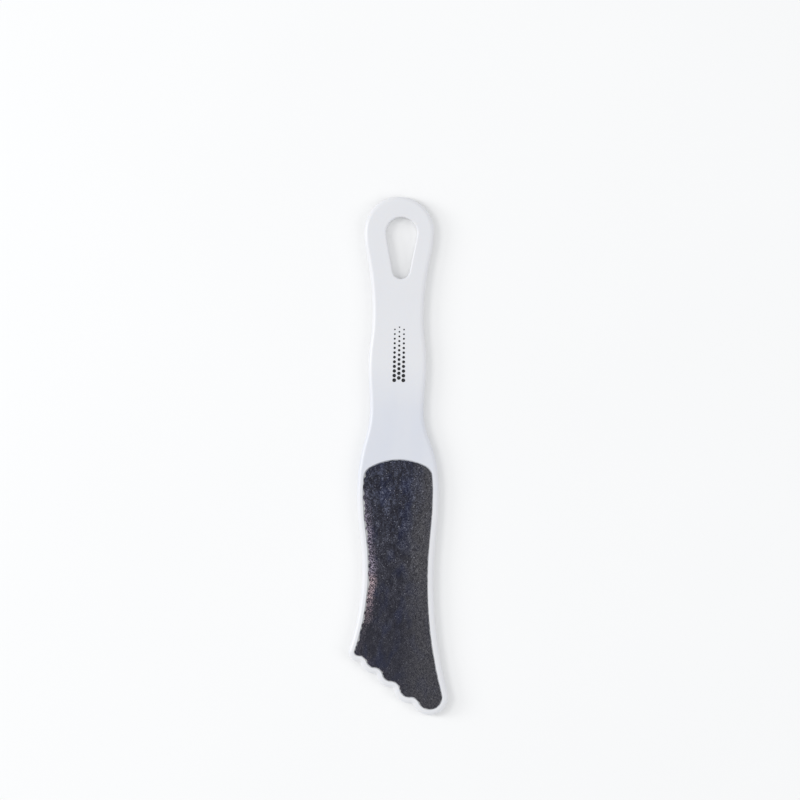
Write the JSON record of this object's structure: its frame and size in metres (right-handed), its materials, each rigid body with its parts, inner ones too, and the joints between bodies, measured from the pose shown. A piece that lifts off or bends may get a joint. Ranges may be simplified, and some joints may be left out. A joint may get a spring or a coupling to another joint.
{
  "type": "foot file",
  "caption": "Flat plastic foot file with a foot-shaped paddle, an abrasive sheet glued into a recess on each face, and a round handle end with a teardrop hang hole.",
  "frame": {"origin": "middle of the footprint, on the plane that the file rests on (the face of the fine abrasive sheet)", "axes": "+Y along the file towards the handle's hanging end, +Z through the thickness out of the coarse face, +X across the file towards the big toe's side"},
  "size_m": [0.0416, 0.2154, 0.0045],
  "materials": {
    "body_plastic": "moulded, satin gloss, cool white",
    "adhesive": "pressure-sensitive film",
    "backing": "latex-sized abrasive paper, dark grey",
    "coarse_grit": "silicon carbide grains in resin, coarse",
    "fine_grit": "silicon carbide grains in resin, fine"
  },
  "bodies": {
    "root": {"file_body": "body_plastic", "coarse_adhesive": "adhesive", "coarse_backing": "backing", "coarse_grit": "coarse_grit", "fine_adhesive": "adhesive", "fine_backing": "backing", "fine_grit": "fine_grit"}
  },
  "joints": []
}
